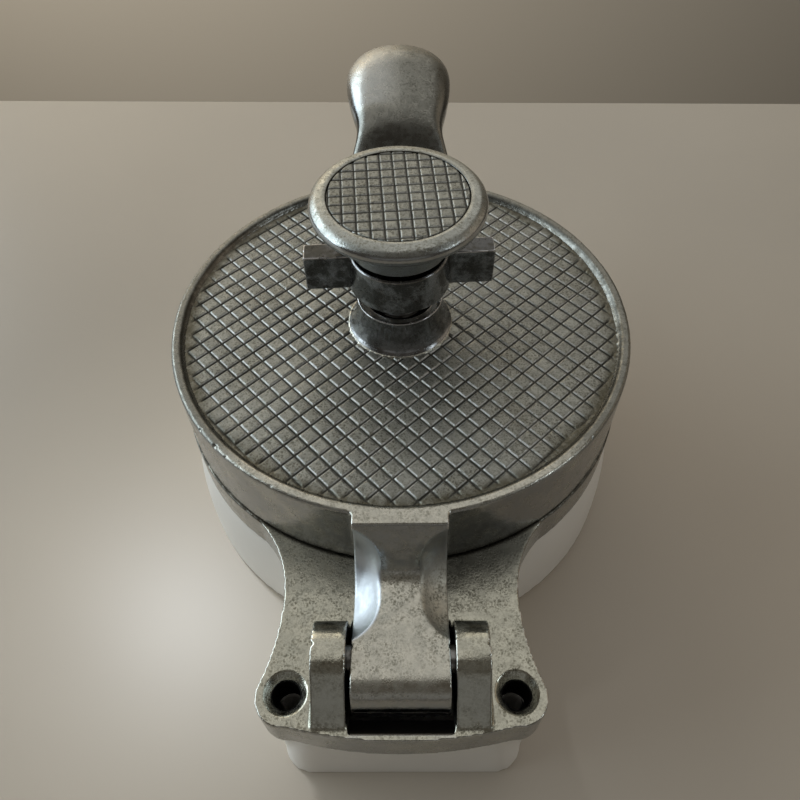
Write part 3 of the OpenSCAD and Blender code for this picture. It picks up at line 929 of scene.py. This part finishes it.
def knob_outline():
    """Hub, flared underside, rounded edge and the shallow recess that holds the grid."""
    edge_z = KNOB_TOP - 2.75
    hub_r = 12.5
    return rounded(
        [
            (0, STEM_TOP - 0.1, 0),
            (STEM_R, STEM_TOP - 0.1, 0.2),
            (STEM_R, HUB_Z, 0.3),
            (hub_r, HUB_Z, 0.5),
            (hub_r, HUB_Z + 7.6, 2.2),
            (16.6, HUB_Z + 9.95, 3.0),
            (KNOB_R - 2.0, edge_z - 2.35, 2.4),
            (KNOB_R + 0.02, edge_z - 1.0, 1.9),
            (KNOB_R + 0.02, edge_z + 0.9, 2.2),
            (KNOB_R - 1.6, KNOB_TOP - 0.35, 2.4),
            (GRID_R + 1.2, KNOB_TOP, 1.2),
            (GRID_R + 0.35, KNOB_TOP - 0.1, 0.3),
            (GRID_R + 0.2, KNOB_TOP - 0.7, 0.15),
            (GRID_R - 0.5, KNOB_TOP - 0.75, 0.1),
            (GRID_R - 0.9, KNOB_TOP - 1.0, 0.1),
            (0, KNOB_TOP - 1.0, 0),
        ],
        0.12,
    )


knob = turned("knob_body", knob_outline(), 256)
set_screw_hole = new_object("drill", *drill_mesh(2.05, STEM_R + 0.2, KNOB_R, HUB_Z + 5))
carve(knob, [set_screw_hole])
p = get_points(knob)
r = np.hypot(p[:, 0], p[:, 1])
# Darker ring along the groove round the grid.
set_layer(knob, "grime_and_painted_shade", step(0.55, 0.2, np.abs(r - GRID_R - 0.1)) * (p[:, 2] > KNOB_TOP - 2))
finish_piece(knob, "plunger", knob_mat, "polished_aluminium", "knob")
knob_grid = grid_solid(
    "knob_grid",
    outer=GRID_R,
    inner=0,
    z=KNOB_TOP - 0.12,
    low=KNOB_TOP - 1.2,
    pitch=KNOB_PITCH,
    half=0.46,
    depth=0.4,
    turn=math.radians(4),
    phase=(-0.56, 0.17),
    seed=21,
    wear=0.03,
)
finish_piece(knob_grid, "plunger", knob_grid_mat, "polished_aluminium")

# ---- winged collar ----

collar = copy_of("collar", "wing_collar")
cast(collar, 0.22, 4)
roughen(collar, 0.03, 0.01, 41)
mark_edges(collar, 0.45)
finish_piece(collar, "collar", collar_mat, "polished_aluminium", "wing_collar")

# ---- threaded stem ----


def threaded_stem(sides=72, rows=10):
    """A plain rod with a thread cut between two levels, which runs out at both ends."""
    low, high = 66.0, STEM_TOP - 4
    depth = 0.95
    steps = int((high - low) / THREAD_PITCH * rows)
    levels = [STEM_LOW, low - 1.2] + [low + (high - low) * k / steps for k in range(steps + 1)]
    levels += [high + 1.2, STEM_TOP - 0.6, STEM_TOP]
    verts, faces = [], []
    for level in levels:
        fade = min(1, max(0, min(level - low, high - level) / 1.5))
        for k in range(sides):
            turn = 2 * math.pi * k / sides
            phase = ((level / THREAD_PITCH) - k / sides) % 1
            tooth = min(1, max(0, 1.18 * abs(2 * phase - 1) - 0.09))
            radius = STEM_R - depth * (1 - tooth) * fade
            if level == STEM_TOP:
                radius = STEM_R - 0.6
            verts.append((radius * math.cos(turn), radius * math.sin(turn), level))
    for i in range(len(levels) - 1):
        for k in range(sides):
            j = (k + 1) % sides
            faces.append([i * sides + k, i * sides + j, (i + 1) * sides + j, (i + 1) * sides + k])
    faces.append(list(range(sides))[::-1])
    faces.append(list(range((len(levels) - 1) * sides, len(levels) * sides)))
    return new_object("stem", verts, faces)


stem = threaded_stem()
finish_piece(stem, "plunger", steel_mat, "steel", "plunger_stem")

# ---- CAD nodes that keep their shape ----

plain_steel = ("pedestal_screws", "hinge_pin", "plate_screw", "knob_set_screw", "collar_washer")
for node in (*plain_steel, "press_plate"):
    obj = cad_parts[node]
    shader = steel_mat if node in plain_steel else plate_mat
    obj.data.materials.clear()
    obj.data.materials.append(shader.material)

# ---- stage ----

TABLE_EDGE = 217.9
TABLE_SLOPE = -0.028
TABLE_HALF = 1600
WALL_Y = 2400
WALL_HALF = 3500


def table():
    """A table top whose far edge is nearly square to the camera."""
    far = [(x, TABLE_EDGE + TABLE_SLOPE * x) for x in (TABLE_HALF, -TABLE_HALF)]
    obj = prism("table", [(-TABLE_HALF, -TABLE_HALF), (TABLE_HALF, -TABLE_HALF)] + far, -30, 0)
    obj.data.polygons.foreach_set("use_smooth", [False] * 6)
    obj.data.materials.append(floor_material().material)
    return obj


def wall():
    """A flat wall well behind the table."""
    obj = block("wall", (-WALL_HALF, WALL_Y, -2500), (WALL_HALF, WALL_Y + 50, 2500))
    obj.data.polygons.foreach_set("use_smooth", [False] * 6)
    obj.data.materials.append(wall_material().material)
    return obj


table_top = table()
backdrop = wall()


def light_only(light, receiver):
    """Lets a light fall on one object of the stage and on nothing else."""
    lit = bpy.data.collections.new(light.name + "_receiver")
    lit.objects.link(receiver)
    light.light_linking.receiver_collection = lit


def area_light(name, place, aim, size, radiance, color):
    """A soft rectangular light of the given radiance. Size is its width and height in metres."""
    data = bpy.data.lights.new(name, "AREA")
    data.shape = "RECTANGLE"
    data.size, data.size_y = size
    data.energy = radiance * math.pi * size[0] * size[1]
    data.color = color
    obj = bpy.data.objects.new(name, data)
    bpy.context.scene.collection.objects.link(obj)
    obj.location = place
    obj.rotation_euler = (Vector(aim) - Vector(place)).to_track_quat("-Z", "Y").to_euler()
    obj.visible_camera = False
    return obj


area_light("window", (-1.9, 0.48, 0.80), (0, 0, 0.03), (2.6, 1.3), 3.0, (0.80, 0.92, 1.0))
area_light("ceiling", (-0.15, 0.62, 1.5), (0, 0, 0), (3.2, 2.9), 0.48, (1.0, 0.99, 0.96))
area_light("far_window", (1.2, -0.5, 0.72), (0, 0, 0.06), (0.30, 0.40), 3.2, (0.85, 0.94, 1.0))
area_light("right_wall", (1.7, 0.4, 0.6), (0, 0, 0.05), (1.6, 1.0), 0.34, (1.0, 0.84, 0.66))
area_light("room", (0, -2.2, 0.62), (0, 0, 0.1), (3.0, 0.75), 0.13, (0.93, 0.97, 1.0))
wall_color = (1.0, 0.94, 0.85)
wall_light = area_light("wall_light", (-1.3, 1.1, 1.3), (-0.9, 2.4, -0.1), (1.5, 1.5), 14.0, wall_color)
light_only(wall_light, backdrop)


def table_glow():
    """A small bright reflection on the table, which lights nothing else."""
    data = bpy.data.lights.new("table_glow", "SPOT")
    data.energy = 11
    data.spot_size = math.radians(12)
    data.spot_blend = 1.0
    data.shadow_soft_size = 0.05
    data.diffuse_factor = 0.0
    data.color = (0.93, 0.97, 1.0)
    obj = bpy.data.objects.new("table_glow", data)
    bpy.context.scene.collection.objects.link(obj)
    obj.location = (-0.333, 0.272, 0.875)
    aim = Vector((-0.063, -0.062, 0.0))
    obj.rotation_euler = (aim - obj.location).to_track_quat("-Z", "Y").to_euler()
    light_only(obj, table_top)


table_glow()

world = bpy.data.worlds.new("room")
world.use_nodes = True
background = next(n for n in world.node_tree.nodes if n.type == "BACKGROUND")
background.inputs["Color"].default_value = (0.075, 0.066, 0.056, 1)
background.inputs["Strength"].default_value = 1.0
bpy.context.scene.world = world
bpy.context.scene.view_settings.view_transform = "Standard"

# ---- camera ----

# The camera stands over the hinge plate and looks down at the knob, about 52 degrees below level.
right = Vector((0.99992, 0.00121, -0.01290))
up = Vector((0.00691, 0.79202, 0.61045))
back = Vector((0.01095, -0.61049, 0.79195))
camera_data = bpy.data.cameras.new("camera")
camera_data.lens = 32.85
camera_data.sensor_width = 36
camera_data.clip_start = 0.01
place = (0.00198, -0.14157, 0.20922)
camera = bpy.data.objects.new("camera", camera_data)
bpy.context.scene.collection.objects.link(camera)
turn = Matrix((right, up, back)).transposed()
camera.matrix_world = Matrix.Translation(place) @ turn.to_4x4()
bpy.context.scene.camera = camera
